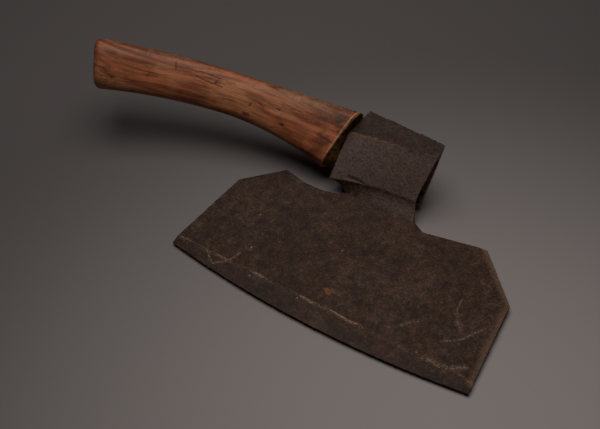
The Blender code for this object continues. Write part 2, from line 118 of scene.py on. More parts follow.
def normals_of(mesh):
    """The mesh's point normals as rows of X, Y and Z."""
    flat = np.empty(len(mesh.vertices) * 3, np.float32)
    mesh.vertices.foreach_get("normal", flat)
    return flat.reshape(-1, 3).astype(float)


def put(mesh, points):
    """Moves the mesh's points to the given places."""
    mesh.vertices.foreach_set("co", points.astype(np.float32).ravel())
    mesh.update()


def paint(mesh, name, values):
    """Keeps one number for each point of a mesh, for its material to read."""
    layer = mesh.attributes.new(name, "FLOAT", "POINT")
    layer.data.foreach_set("value", np.clip(values, 0.0, 1.0).astype(np.float32))


def paint_vector(mesh, name, vectors):
    """Keeps one vector for each point of a mesh, for its material to read."""
    layer = mesh.attributes.new(name, "FLOAT_VECTOR", "POINT")
    layer.data.foreach_set("vector", vectors.astype(np.float32).ravel())


# Fields over points


def step(low, high, values):
    """Rises smoothly from 0 at low to 1 at high."""
    share = np.clip((values - low) / (high - low), 0.0, 1.0)
    return share * share * (3 - 2 * share)


# Patches of a random field: their size, the field's values where they start and are full, its seed.
Patches = namedtuple("Patches", "size low high seed octaves", defaults=(2,))

# Round pits: how far apart, how wide as a share of that, and their seed.
Pits = namedtuple("Pits", "spacing width seed")

# Where a face starts to count, and counts fully, by its normal's share along an axis.
UPWARD = (0.2, 0.8)
SIDEWAYS = (0.3, 0.7)
SQUARE_ON = (0.4, 0.8)
LEANING = (0.1, 0.5)
DOWNWARD = -0.5

ROUGH_SEED_SHIFT = 7.31
PIT_SEED_SHIFT = 3.17


def rough(points, grain, octaves=2, seed=0):
    """Noise between about -1 and 1, with features of the given size or sizes."""
    places = points / grain + seed * ROUGH_SEED_SHIFT
    return np.array([noise.fractal(Vector(p), 1.0, 2.0, octaves) for p in places])


def pits(points, kind):
    """1 at the middle of each round pit and 0 outside it."""
    places = points / kind.spacing + kind.seed * PIT_SEED_SHIFT
    distance = np.array([noise.voronoi(Vector(p))[0][0] for p in places])
    return 1 - step(0.0, kind.width, distance)


def near_line(points, start, end, width):
    """1 on the line from start to end, falling to 0 at the given distance from it, in X and Y."""
    a, b = np.array(start), np.array(end)
    flat = points[:, :2]
    share = np.clip(((flat - a) @ (b - a)) / ((b - a) @ (b - a)), 0.0, 1.0)
    distance = np.linalg.norm(flat - (a + share[:, None] * (b - a)), axis=1)
    return 1 - step(0.0, width, distance)


def near_path(points, path, width):
    """1 on the path's straight stretches, falling to 0 at the given distance from them."""
    return np.max([near_line(points, a, b, width) for a, b in zip(path, path[1:])], axis=0)


def uneven(points, grain, seed, octaves=2):
    """Noise between about 0 and 1, with features of the given size or sizes."""
    return 0.5 + 0.5 * rough(points, grain, octaves, seed)


def patches(points, kind):
    """1 in patches of the given kind and 0 between them."""
    return step(kind.low, kind.high, rough(points, kind.size, kind.octaves, kind.seed))


def facing_up(normals):
    """1 on the faces that look up, 0 on the sides and below."""
    return step(*UPWARD, normals[:, 2])


def added(fields, shares):
    """The named fields added up, each by its share."""
    return sum(share * fields[name] for name, share in shares.items())


def strongest(fields, shares):
    """The strongest of the named fields, each by its share."""
    return np.max([share * fields[name] for name, share in shares.items()], axis=0)


def near_spot(points, spot, size):
    """1 at a spot, falling to 0 at its edge; the size is given along X and along Y."""
    offset = (points[:, :2] - np.array(spot)) / np.array(size)
    return 1 - step(0.0, 1.0, np.linalg.norm(offset, axis=1))


# Material helpers

# A texture's feature size, its finer detail, and how strong that detail is.
Texture = namedtuple("Texture", "size detail roughness", defaults=(3.0, 0.6))

# How a value between low and high is turned into one between at_low and at_high.
Ramp = namedtuple("Ramp", "low high at_low at_high", defaults=(0.0, 1.0))


class Graph:
    """One material's nodes, with short ways to add the usual ones."""

    def __init__(self, name):
        """A new material with its shader, and the object's own place as the textures' place."""
        self.material = bpy.data.materials.new(name)
        self.material.use_nodes = True
        self.nodes = self.material.node_tree.nodes
        self.links = self.material.node_tree.links
        self.shader = self.nodes["Principled BSDF"]
        self.place = self.nodes.new("ShaderNodeTexCoord").outputs["Object"]

    def join(self, source, socket):
        """Gives a socket a number, a colour or another node's output."""
        if isinstance(source, (int, float)):
            socket.default_value = source
        elif isinstance(source, tuple):
            socket.default_value = (*source, 1.0)[: len(socket.default_value)]
        else:
            self.links.new(source, socket)

    def attribute(self, name, output="Fac"):
        """What is painted on the mesh under the given name."""
        node = self.nodes.new("ShaderNodeAttribute")
        node.attribute_name = name
        return node.outputs[output]

    def stretched(self, scale, source=None):
        """A place scaled along each axis."""
        node = self.nodes.new("ShaderNodeMapping")
        node.inputs["Scale"].default_value = scale
        self.join(source or self.place, node.inputs["Vector"])
        return node.outputs["Vector"]

    def noise(self, texture, source=None, distortion=0.0):
        """A random field between 0 and 1, at the object's own place unless another is given."""
        node = self.nodes.new("ShaderNodeTexNoise")
        node.inputs["Scale"].default_value = 1.0 / texture.size
        node.inputs["Detail"].default_value = texture.detail
        node.inputs["Roughness"].default_value = texture.roughness
        node.inputs["Distortion"].default_value = distortion
        self.join(source or self.place, node.inputs["Vector"])
        return node.outputs["Fac"]

    def bands(self, size, distortion, detail, source):
        """Wavy bands, as a tree's rings make in a board."""
        node = self.nodes.new("ShaderNodeTexWave")
        node.wave_type = "BANDS"
        node.bands_direction = "Z"
        node.inputs["Scale"].default_value = 1.0 / size
        node.inputs["Distortion"].default_value = distortion
        node.inputs["Detail"].default_value = detail
        self.join(source, node.inputs["Vector"])
        return node.outputs["Fac"]

    def ramp(self, value, limits):
        """The value taken smoothly from one range to another."""
        node = self.nodes.new("ShaderNodeMapRange")
        node.interpolation_type = "SMOOTHSTEP"
        self.join(value, node.inputs["Value"])
        self.join(limits.low, node.inputs["From Min"])
        self.join(limits.high, node.inputs["From Max"])
        node.inputs["To Min"].default_value = limits.at_low
        node.inputs["To Max"].default_value = limits.at_high
        return node.outputs["Result"]

    def past(self, value, start, paint, pull, reach):
        """1 where the value is past its start, which the paint pulls down where it is strong."""
        pulled = self.maths("SUBTRACT", start, self.maths("MULTIPLY", paint, pull))
        return self.ramp(value, Ramp(pulled, self.maths("ADD", pulled, reach)))

    def maths(self, operation, a, b=0.0):
        """An arithmetic operation on two values."""
        node = self.nodes.new("ShaderNodeMath")
        node.operation = operation
        self.join(a, node.inputs[0])
        self.join(b, node.inputs[1])
        return node.outputs["Value"]

    def blend(self, share, a, b):
        """Colour a, with the given share of colour b over it."""
        node = self.nodes.new("ShaderNodeMix")
        node.data_type = "RGBA"
        self.join(share, node.inputs["Factor"])
        self.join(a, node.inputs["A"])
        self.join(b, node.inputs["B"])
        return node.outputs["Result"]

    def bump(self, height, distance, strength=1.0, before=None):
        """A normal roughened by a height, on top of another bump if one is given."""
        node = self.nodes.new("ShaderNodeBump")
        node.inputs["Strength"].default_value = strength
        node.inputs["Distance"].default_value = distance
        self.join(height, node.inputs["Height"])
        if before is not None:
            self.join(before, node.inputs["Normal"])
        return node.outputs["Normal"]

    def finish(self, colour, roughness, normal, specular=0.5):
        """Gives the shader its colour, roughness and normal, and returns the material."""
        self.join(colour, self.shader.inputs["Base Color"])
        self.join(roughness, self.shader.inputs["Roughness"])
        self.join(normal, self.shader.inputs["Normal"])
        self.shader.inputs["Specular IOR Level"].default_value = specular
        return self.material


# Forged iron

IRON_DARK = (0.082, 0.036, 0.021)
IRON_GREY = (0.122, 0.064, 0.045)
# The darkest iron colour serves for pits, and through the grime paint also for the painted shade on the
# eye's poll and downward faces.
IRON_PIT_AND_SHADE = (0.012, 0.008, 0.006)
IRON_BRIGHT = (0.48, 0.29, 0.185)
RIM_BROWN = (0.225, 0.130, 0.088)
# The eye's pale colour: its worn ends and edges, and on the cheek painted light together with the
# cheek's greyer skin.
PALE_GREY_AND_CHEEK_LIGHT = (0.200, 0.138, 0.118)
RUST_DEEP = (0.16, 0.050, 0.015)
RUST_BRIGHT = (0.42, 0.17, 0.055)

# The iron's skin from its broadest tones to its finest grain.
BROAD_SKIN = Texture(0.045, 4.0, 0.65)
SKIN_START = 0.40
SKIN_FULL = 0.75
BLOTCHES = Texture(0.0085, 5.0, 0.70)
PITTED_BLOTCHES = Ramp(0.36, 0.52, 0.60, 0.0)
PALE_BLOTCHES = Ramp(0.52, 0.68, 0.0, 0.42)
MOTTLE = Texture(0.0019, 6.0, 0.80)
DARK_MOTTLE = Ramp(0.41, 0.54, 0.74, 0.0)
BRIGHT_MOTTLE = Ramp(0.55, 0.70, 0.0, 0.48)
IRON_GRAIN = Texture(0.0012, 3.0, 0.7)
RUBBED_GRAIN = Ramp(0.46, 0.60, 0.06, 0.62)

# Bright specks and rust start where the grain passes a limit, which wear and rust pull down.
SPECK_START = 0.76
SPECK_PULL = 0.40
SPECK_REACH = 0.09
SPECK_SHARE = 0.85
RUST_GRAIN = Texture(0.0030, 4.0, 0.7)
RUST_START = 0.80
RUST_PULL = 0.46
RUST_REACH = 0.07
RUST_TONES = Ramp(0.42, 0.62)

RIM_MOTTLE = Ramp(0.34, 0.58, 0.30, 1.0)
GLOSS_MOTTLE = (0.35, 0.65)
SMOOTHER = 0.10
ROUGHER = 0.14
GRAIN_DEPTH_SHARE = 0.45
GRAIN_STRENGTH = 0.9
IRON_SPECULAR = 0.20


def iron(name, grey_share, pit_depth, roughness, pale):
    """Matte dark iron: brown and grey skin, fine pits, and worn specks, rust, pale rims and grime where
    they are painted; on the eye the pale paint also carries painted light and the grime paint painted
    shade.
    """
    g = Graph(name)
    skin = g.ramp(g.noise(BROAD_SKIN), Ramp(SKIN_START - grey_share, SKIN_FULL - grey_share))
    colour = g.blend(skin, IRON_DARK, IRON_GREY)
    blotches = g.noise(BLOTCHES)
    colour = g.blend(g.ramp(blotches, PITTED_BLOTCHES), colour, IRON_PIT_AND_SHADE)
    colour = g.blend(g.ramp(blotches, PALE_BLOTCHES), colour, RIM_BROWN)
    mottle = g.noise(MOTTLE)
    colour = g.blend(g.ramp(mottle, DARK_MOTTLE), colour, IRON_PIT_AND_SHADE)
    colour = g.blend(g.ramp(mottle, BRIGHT_MOTTLE), colour, IRON_BRIGHT)
    grain = g.noise(IRON_GRAIN)
    worn = g.attribute("worn")
    rubbed = g.maths("MULTIPLY", worn, g.ramp(grain, RUBBED_GRAIN))
    colour = g.blend(rubbed, colour, IRON_BRIGHT)
    speck = g.past(grain, SPECK_START, worn, SPECK_PULL, SPECK_REACH)
    colour = g.blend(g.maths("MULTIPLY", speck, SPECK_SHARE), colour, IRON_BRIGHT)
    rusty = g.past(g.noise(RUST_GRAIN), RUST_START, g.attribute("rust"), RUST_PULL, RUST_REACH)
    rust_colour = g.blend(g.ramp(grain, RUST_TONES), RUST_DEEP, RUST_BRIGHT)
    colour = g.blend(rusty, colour, rust_colour)
    # The rim paint lightens: worn rims, and painted light on the eye's cheek. The grime paint darkens:
    # grime, the blade broadly towards its toe, and painted shade on the eye's poll and downward faces.
    rim = g.maths("MULTIPLY", g.attribute("rim"), g.ramp(mottle, RIM_MOTTLE))
    colour = g.blend(rim, colour, pale)
    colour = g.blend(g.attribute("grime_and_shade"), colour, IRON_PIT_AND_SHADE)
    gloss = g.ramp(mottle, Ramp(*GLOSS_MOTTLE, roughness - SMOOTHER, roughness + ROUGHER))
    pitted = g.bump(mottle, pit_depth)
    normal = g.bump(grain, pit_depth * GRAIN_DEPTH_SHARE, GRAIN_STRENGTH, pitted)
    return g.finish(colour, gloss, normal, IRON_SPECULAR)


# Blade

WELD_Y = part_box("blade_body")[0].y
STEEL_TOP_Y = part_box("cutting_steel")[1].y
BLADE_TOP_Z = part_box("blade_body")[1].z
HEEL_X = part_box("blade_body")[1].x

# Marks on the blade's top face, by their places along X and Y.
RUST_SPOT = (0.0035, -0.0505)
RUST_SPOT_SIZE = (0.0150, 0.0105)
TOE_SCRATCHES = ((-0.119, -0.068), (-0.106, -0.078), (-0.093, -0.068), (-0.089, -0.055))
HEEL_SCRATCHES = ((0.112, -0.067), (0.128, -0.067), (0.141, -0.058))
CURVED_SCRATCH = ((0.1095, 0.004), (0.1105, -0.008), (0.116, -0.020), (0.1225, -0.027))
LONG_SCRATCH = ((0.112, -0.046), (0.126, -0.036), (0.1395, -0.014))
FAINT_SCRATCH = ((0.068, -0.057), (0.077, -0.047), (0.086, -0.037))
BRIGHT_SPECKS = (
    (-0.0675, -0.0725),
    (-0.0170, -0.0712),
    (0.0988, -0.0664),
    (-0.0092, -0.0034),
    (-0.0990, -0.0060),
    (-0.0840, -0.0440),
)
SPECK_SIZE = (0.0016, 0.0016)
SPECK_WORN = 1.5

# Each scratch's path, its width and how bright it is.
SCRATCHES = (
    (TOE_SCRATCHES, 0.0024, 0.72),
    (HEEL_SCRATCHES, 0.0046, 0.70),
    (CURVED_SCRATCH, 0.0016, 0.70),
    (LONG_SCRATCH, 0.0020, 0.62),
    (FAINT_SCRATCH, 0.0030, 0.50),
)

# The worn, wandering line where the bevel's steel meets the iron.
BEVEL_LINE_ABOVE_WELD = 0.0008
BEVEL_LINE_HALF = 0.0004
BEVEL_LINE_FADED = 0.0022
BEVEL_LINE_WANDER = 0.0012
BEVEL_LINE_WAVE = 0.020
BEVEL_LINE_WORN = 0.35
BEVEL_LINE_PATCHY = 0.55
BEVEL_LINE_PATCHES = Patches(0.016, -0.35, 0.55, 6)

# The pale rim along the heel's side and its clipped corner.
RIM_REACH = 0.0085
RIM_LOW_Y = -0.0690
HEEL_CORNER = (HEEL_X - 0.0042, 0.0205)
HEEL_CLIP = (HEEL_CORNER[0] - 0.0425, HEEL_CORNER[1] + 0.0485)

# How deep the waves, the hammer's dents and the rust's grit are, and the seed of their fields.
Forging = namedtuple("Forging", "wave dent grit seed")
WAVE_SIZE = 0.034
DENT_SIZE = 0.0095
GRIT_SIZE = 0.0030
BLADE_FORGING = Forging(0.00016, 0.00011, 0.00009, 11)

BLADE_PITS = Pits(0.0062, 0.42, 4)
BLADE_PIT_PLACES = Patches(0.018, 0.15, 0.6, 9)
BLADE_PIT_DEPTH = 0.00028
BLADE_SIDE_DEPTH = 0.0004
BLADE_SIDE_WAVE = 0.006
BELOW_SHARE = 0.4
BACK_REACH = 0.0004

# What is painted on the blade, and how strongly.
WARM_PATCHES = Patches(0.030, 0.1, 0.7, 21)
SMUDGED_PATCHES = Patches(0.05, 0.0, 0.8, 24)
RIM_WAVE = 0.012
TOE_SIDE_END = -0.110
TOE_SIDE_FADED = 0.060
BLADE_WORN = {"wear": 1.0, "rim": 0.42, "sides": 0.30}
# The blade is darkened in smudges, and broadly towards the toe.
BLADE_GRIME_AND_TOE_DARKENING = {"smudges": 0.16, "toe_side": 0.16}
WARM_RUST = 0.156
SPOT_RUST = 0.92
RIM_RUST = 0.18
RIM_PALE = 0.95
RIM_UNEVEN = 0.45


def forged(points, normals, kind):
    """Points sunk inward a little, unevenly, as hammered and rusted iron is."""
    depth = kind.wave * uneven(points, WAVE_SIZE, kind.seed)
    depth += kind.dent * uneven(points, DENT_SIZE, kind.seed + 1)
    depth += kind.grit * uneven(points, GRIT_SIZE, kind.seed + 2)
    return points - normals * np.clip(depth, 0.0, None)[:, None]


def blade_wear(points):
    """How worn the blade's top face is: along the bevel's line, at scratches and at bright specks."""
    wander = BEVEL_LINE_WANDER * rough(points, BEVEL_LINE_WAVE, seed=5)
    off_line = np.abs(points[:, 1] - WELD_Y - BEVEL_LINE_ABOVE_WELD + wander)
    line = 1 - step(BEVEL_LINE_HALF, BEVEL_LINE_FADED, off_line)
    worn = line * (BEVEL_LINE_WORN + BEVEL_LINE_PATCHY * patches(points, BEVEL_LINE_PATCHES))
    for path, width, strength in SCRATCHES:
        worn = np.maximum(worn, strength * near_path(points, path, width))
    for spot in BRIGHT_SPECKS:
        worn = np.maximum(worn, SPECK_WORN * near_spot(points, spot, SPECK_SIZE))
    return worn


def heel_rim(points):
    """1 on the rim along the heel's side and its clipped corner, falling to 0 inside its width."""
    side = near_line(points, (HEEL_X, RIM_LOW_Y), HEEL_CORNER, RIM_REACH)
    top = near_line(points, HEEL_CORNER, HEEL_CLIP, RIM_REACH)
    return np.maximum(side, top)


def finish_blade(piece, look):
    """Forges a blade piece's surface, keeps its back flat and paints its wear."""
    mesh = piece.data
    points = points_of(mesh)
    normals = normals_of(mesh)
    upward = facing_up(normals)
    sides = 1 - step(*SIDEWAYS, np.abs(normals[:, 2]))
    rim = heel_rim(points) * upward
    moved = forged(points, normals, BLADE_FORGING)
    hollow = pits(points, BLADE_PITS) * patches(points, BLADE_PIT_PLACES)
    hollow *= BELOW_SHARE + (1 - BELOW_SHARE) * upward
    moved -= normals * (BLADE_PIT_DEPTH * hollow)[:, None]
    chipped = sides * uneven(points, BLADE_SIDE_WAVE, seed=14)
    moved -= normals * (BLADE_SIDE_DEPTH * chipped)[:, None]
    back = (normals[:, 2] < DOWNWARD) & (points[:, 2] < BACK_REACH)
    moved[back, 2] = points[back, 2]
    put(mesh, moved)

    toe_side = 1 - step(TOE_SIDE_END, TOE_SIDE_FADED, points[:, 0])
    fields = {
        "wear": blade_wear(points) * upward,
        "rim": rim,
        "sides": sides,
        "smudges": patches(points, SMUDGED_PATCHES) * (1 - rim),
        "toe_side": toe_side * (1 - rim),
    }
    warm = WARM_RUST * patches(points, WARM_PATCHES)
    spot = SPOT_RUST * near_spot(points, RUST_SPOT, RUST_SPOT_SIZE)
    paint(mesh, "worn", added(fields, BLADE_WORN))
    paint(mesh, "rim", rim * (RIM_PALE + RIM_UNEVEN * rough(points, RIM_WAVE, seed=23)))
    paint(mesh, "rust", np.maximum(warm, spot) + RIM_RUST * rim)
    paint(mesh, "grime_and_shade", added(fields, BLADE_GRIME_AND_TOE_DARKENING))
    mesh.materials.append(look)
    return piece


blade_iron = iron("blade_iron", 0.0, 0.00035, 0.62, RIM_BROWN)
steel_iron = iron("edge_steel", -0.02, 0.00025, 0.58, RIM_BROWN)
eye_iron = iron("eye_iron", 0.16, 0.00030, 0.60, PALE_GREY_AND_CHEEK_LIGHT)

blade = finish_blade(fine_copy("blade_body", "blade_plate", PLATE_VOXEL, 1), blade_iron)

WELD_LAP = 0.0024
WELD_STEP = 0.00003
WELD_SIDE_REACH = 0.00005


def reach_the_weld(points):
    """The cutting steel's weld side, lapped just under the blade's skin as in a closed forge weld."""
    moved = points.copy()
    on_weld = points[:, 1] > STEEL_TOP_Y - WELD_SIDE_REACH
    moved[on_weld, 1] = WELD_Y + WELD_LAP
    on_top = on_weld & (points[:, 2] > BLADE_TOP_Z / 2)
    moved[on_top, 2] -= WELD_STEP
    moved[on_weld & ~on_top, 2] += WELD_STEP
    return moved


steel = finish_blade(
    fine_copy("cutting_steel", "cutting_edge", STEEL_VOXEL, 1, reach_the_weld), steel_iron
)


# Eye strap

# The strap's foot on the blade: how far up it bends, how deep it is sunk and how far out it flares.
WELD_GAP = 0.0003
FOOT_Z = BLADE_TOP_Z + WELD_GAP
FOOT_BEND = 0.0045
FOOT_SUNK = 0.0024
FOOT_FLARE = 0.0030
FOOT_BACK = (0.074, 0.080)

# A pair of limits is where a feature starts and where it is complete.
RIDGE_LEFT = (-0.0632, 0.1011)
RIDGE_RIGHT = (0.0299, 0.1091)
RIDGE_HALF = 0.003
RIDGE_WIDTH = 0.0026
RIDGE_WANDER = 0.0018
RIDGE_WAVE = 0.0080
RIDGE_WORN = (-0.020, 0.006)
NECK_CORNER = (0.0322, 0.0640)
NECK_CORNER_SIZE = (0.0090, 0.0120)
LIP_CRACK = ((-0.0440, 0.0690), (-0.0330, 0.0705), (-0.0235, 0.0695))
LIP_CRACK_WIDTH = 0.0022
LIP_CRACK_DEPTH = 0.0009
LIP_CREASE = ((-0.0440, 0.0770), (-0.0430, 0.0700), (-0.0400, 0.0640))
LIP_CREASE_WIDTH = 0.0016
LIP_CREASE_DEPTH = 0.0004
LIP_X = (-0.058, -0.034)
LIP_Y = (0.066, 0.078)
LIP_WAVE = 0.0060
LIP_DEPTH = 0.0014
RUST_DOTS = (
    (-0.0570, 0.1009),
    (-0.0453, 0.1021),
    (-0.0346, 0.1049),
    (-0.0258, 0.1049),
    (-0.0197, 0.1078),
)
RUST_DOT_SIZE = (0.0034, 0.0022)

STRAP_FORGING = Forging(0.00045, 0.00022, 0.00008, 31)
POLL_PITS = Pits(0.0040, 0.60, 3)
POLL_PIT_PLACES = Patches(0.010, -0.45, 0.15, 33)
SMALL_POLL_PITS = Pits(0.0026, 0.55, 8)
POLL_PIT_DEPTH = 0.0011
CHEEK_PITS = Pits(0.0050, 0.45, 6)
CHEEK_PIT_PLACES = Patches(0.016, 0.1, 0.7, 35)
CHEEK_PIT_DEPTH = 0.00030
CHEEK_Y = (0.056, 0.070)
END_DEPTH = 0.0005
END_WAVE = 0.0035
RIGHT_EDGE_X = (0.0275, 0.0305)
INSIDE_Z = (0.020, 0.030)
SMALL_PIT_SHARE = 0.8

# What is painted on the strap, and how strongly.
STRAP_WORN = {
    "ends": 0.75,
    "ridge": 0.35,
    "poll": 0.24,
    "right_edge": 0.62,
    "dots": 0.5,
    "crease": 0.4,
}
STRAP_RUST = {
    "dots": 0.95,
    "ridge": 0.30,
    "ends": 0.45,
    "poll": 0.42,
    "neck_corner": 0.70,
    "right_edge": 0.35,
}
# The cheek's pale share is painted light, together with the cheek's greyer skin.
STRAP_PALE_RIMS_AND_CHEEK_LIGHT = {"ends": 0.8, "right_edge": 0.6, "cheek_grey_and_painted_light": 0.66}
# The poll's dark share is painted shade together with its pitted grime, and the inside share is painted
# shade on downward faces high in the eye.
STRAP_GRIME_AND_SHADE = {"poll_pits": 0.95, "inside": 0.5, "poll": 0.60, "crack": 0.55}


def ridge_y(x):
    """Where the cheek turns over into the poll."""
    slope = (RIDGE_RIGHT[1] - RIDGE_LEFT[1]) / (RIDGE_RIGHT[0] - RIDGE_LEFT[0])
    return RIDGE_LEFT[1] + slope * (x - RIDGE_LEFT[0])


def finish_strap(piece, look):
    """Forges the strap's surface, closes its welded foot onto the blade and paints its wear, rust and
    grime, with painted light on its cheek and painted shade on its poll and on its downward faces high
    in the eye.
    """
    mesh = piece.data
    points = points_of(mesh)
    normals = normals_of(mesh)
    x, y, z = points.T
    upward = facing_up(normals)
    ends = step(*SQUARE_ON, np.abs(normals[:, 0]))
    past_ridge = y - ridge_y(x) + RIDGE_WANDER * rough(points, RIDGE_WAVE, seed=30)
    on_poll = step(-RIDGE_HALF, RIDGE_HALF, past_ridge) * upward
    on_cheek = (1 - on_poll) * upward * step(*CHEEK_Y, y)
    left_lip = (1 - step(*LIP_X, x)) * (1 - step(*LIP_Y, y))
    foot = (1 - step(0.0, FOOT_BEND, z - FOOT_Z)) * (1 - step(*FOOT_BACK, y))
    before_cheek = step(*LEANING, -normals[:, 1])
    crack = near_path(points, LIP_CRACK, LIP_CRACK_WIDTH) * upward
    crease = near_path(points, LIP_CREASE, LIP_CREASE_WIDTH) * upward

    deep = pits(points, POLL_PITS) * patches(points, POLL_PIT_PLACES)
    deep = np.maximum(deep, SMALL_PIT_SHARE * pits(points, SMALL_POLL_PITS))
    shallow = pits(points, CHEEK_PITS) * patches(points, CHEEK_PIT_PLACES)
    depth = POLL_PIT_DEPTH * deep * on_poll + CHEEK_PIT_DEPTH * shallow * (1 - on_poll)
    depth += LIP_DEPTH * left_lip * uneven(points, LIP_WAVE, seed=37, octaves=3)
    depth += LIP_CRACK_DEPTH * crack + LIP_CREASE_DEPTH * crease
    depth += END_DEPTH * ends * uneven(points, END_WAVE, seed=39)
    moved = forged(points, normals, STRAP_FORGING) - normals * depth[:, None]
    moved[:, 2] -= FOOT_SUNK * foot
    moved[:, 1] -= FOOT_FLARE * foot * before_cheek
    put(mesh, moved)

    on_ridge = 1 - step(0.0, RIDGE_WIDTH, np.abs(past_ridge))
    fields = {
        "ends": ends,
        "ridge": on_ridge * (1 - step(*RIDGE_WORN, x)) * upward,
        "poll": on_poll,
        "poll_pits": deep * on_poll,
        "cheek_grey_and_painted_light": on_cheek,
        "right_edge": step(*RIGHT_EDGE_X, x) * step(*LEANING, normals[:, 2]),
        "dots": np.max([near_spot(points, spot, RUST_DOT_SIZE) for spot in RUST_DOTS], axis=0),
        "crease": crease,
        "crack": crack,
        "neck_corner": near_spot(points, NECK_CORNER, NECK_CORNER_SIZE),
        "inside": step(*LEANING, -normals[:, 2]) * step(*INSIDE_Z, z),
    }
    # The rim paint carries painted light on the cheek, and the grime paint carries painted shade on the
    # poll and on downward faces high in the eye.
    paint(mesh, "worn", added(fields, STRAP_WORN))
    paint(mesh, "rust", added(fields, STRAP_RUST))
    paint(mesh, "rim", added(fields, STRAP_PALE_RIMS_AND_CHEEK_LIGHT))
    paint(mesh, "grime_and_shade", strongest(fields, STRAP_GRIME_AND_SHADE))
    mesh.materials.append(look)
    return piece


strap = finish_strap(fine_copy("eye_strap", "eye_socket", STRAP_VOXEL, 4), eye_iron)


# Handle

WOOD_DARK = (0.215, 0.060, 0.0250)
WOOD_RED = (0.680, 0.210, 0.085)
WOOD_GOLD = (0.920, 0.420, 0.190)
# The near-black wood colour serves for pores, smudges, grime and the painted shade on the grip's sides
# and inside the eye.
WOOD_GRIME_AND_SHADE = (0.022, 0.012, 0.008)
RAW_WOOD = (0.230, 0.100, 0.024)
RAW_SHADE = (0.060, 0.028, 0.009)
HANDLE_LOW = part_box("handle")[0]
SHOULDER_X = -0.0684
SHOULDER_LEAN = 0.20
CENTRE_SLICES = 60
CENTRE_DEGREE = 5
FEWEST_IN_SLICE = 10


def centre_line(points):
    """The middle of the handle's section at any X, from the outline of each slice."""
    edges = np.linspace(points[:, 0].min(), points[:, 0].max(), CENTRE_SLICES + 1)
    slot = np.clip(np.searchsorted(edges, points[:, 0]) - 1, 0, CENTRE_SLICES - 1)
    places, middles = [], []
    for i in range(CENTRE_SLICES):
        inside = points[slot == i]
        if len(inside) > FEWEST_IN_SLICE:
            places.append(inside[:, 0].mean())
            middles.append((inside[:, 1:].min(0) + inside[:, 1:].max(0)) / 2)
    middles = np.array(middles)
    fits = [np.polynomial.Polynomial.fit(places, middles[:, k], CENTRE_DEGREE) for k in (0, 1)]
    return np.stack([fit(points[:, 0]) for fit in fits], axis=1)


# A stretch draws a texture out along the handle by the inverse of its first share.
STREAKS = Texture(0.0050, 4.0, 0.62)
STREAK_STRETCH = (0.085, 1.0, 1.0)
STREAK_WAVE = 0.6
STREAK_TONES = Ramp(0.34, 0.66)
STREAK_GLOSS = Ramp(0.30, 0.70, 0.50, 0.36)
FIBRES = Texture(0.0012, 4.0, 0.70)
FIBRE_STRETCH = (0.06, 1.0, 1.0)
FIBRE_WAVE = 0.3
GOLDEN_FIBRES = Ramp(0.40, 0.62, 0.35, 1.0)
PORES = Ramp(0.30, 0.42, 0.85, 0.0)
ARRIS_FIBRES = Ramp(0.35, 0.60, 0.3, 1.0)
BROAD_GRAIN = Texture(0.030, 3.0, 0.60)
BROAD_STRETCH = (0.45, 1.0, 1.0)
BROAD_WAVE = 0.4
GOLDEN_PLACES = Ramp(0.46, 0.70)
GOLDEN_SHARE = 0.75
RING_SIZE = 0.030
RING_STRETCH = (0.10, 0.8, 1.0)
RING_WAVE = 3.0
RING_DETAIL = 2.0
RING_TONES = Ramp(0.0, 1.0, 0.0, 0.28)
SMUDGES = Texture(0.011, 5.0, 0.7)
SMUDGE_TONES = Ramp(0.55, 0.72, 0.0, 0.50)
FLECKS = Texture(0.0020, 3.0, 0.7)
FLECK_TONES = Ramp(0.68, 0.76, 0.0, 0.6)
RAW_GRAIN = Texture(0.0060, 4.0, 0.6)
RAW_TONES = Ramp(0.35, 0.62)
RAW_ROUGHNESS = (0.85, 0.85, 0.85)
GRIME_AND_SHADE_PATCHES = Texture(0.0060, 5.0, 0.7)
GRIME_AND_SHADE_TONES = Ramp(0.35, 0.62, 0.55, 1.0)
FIBRE_BUMP = 0.00022
FIBRE_STRENGTH = 0.8
HOLLOWS = Texture(0.0090, 3.0, 0.6)
HOLLOW_BUMP = 0.0006
HOLLOW_STRENGTH = 0.6
WOOD_SPECULAR = 0.24


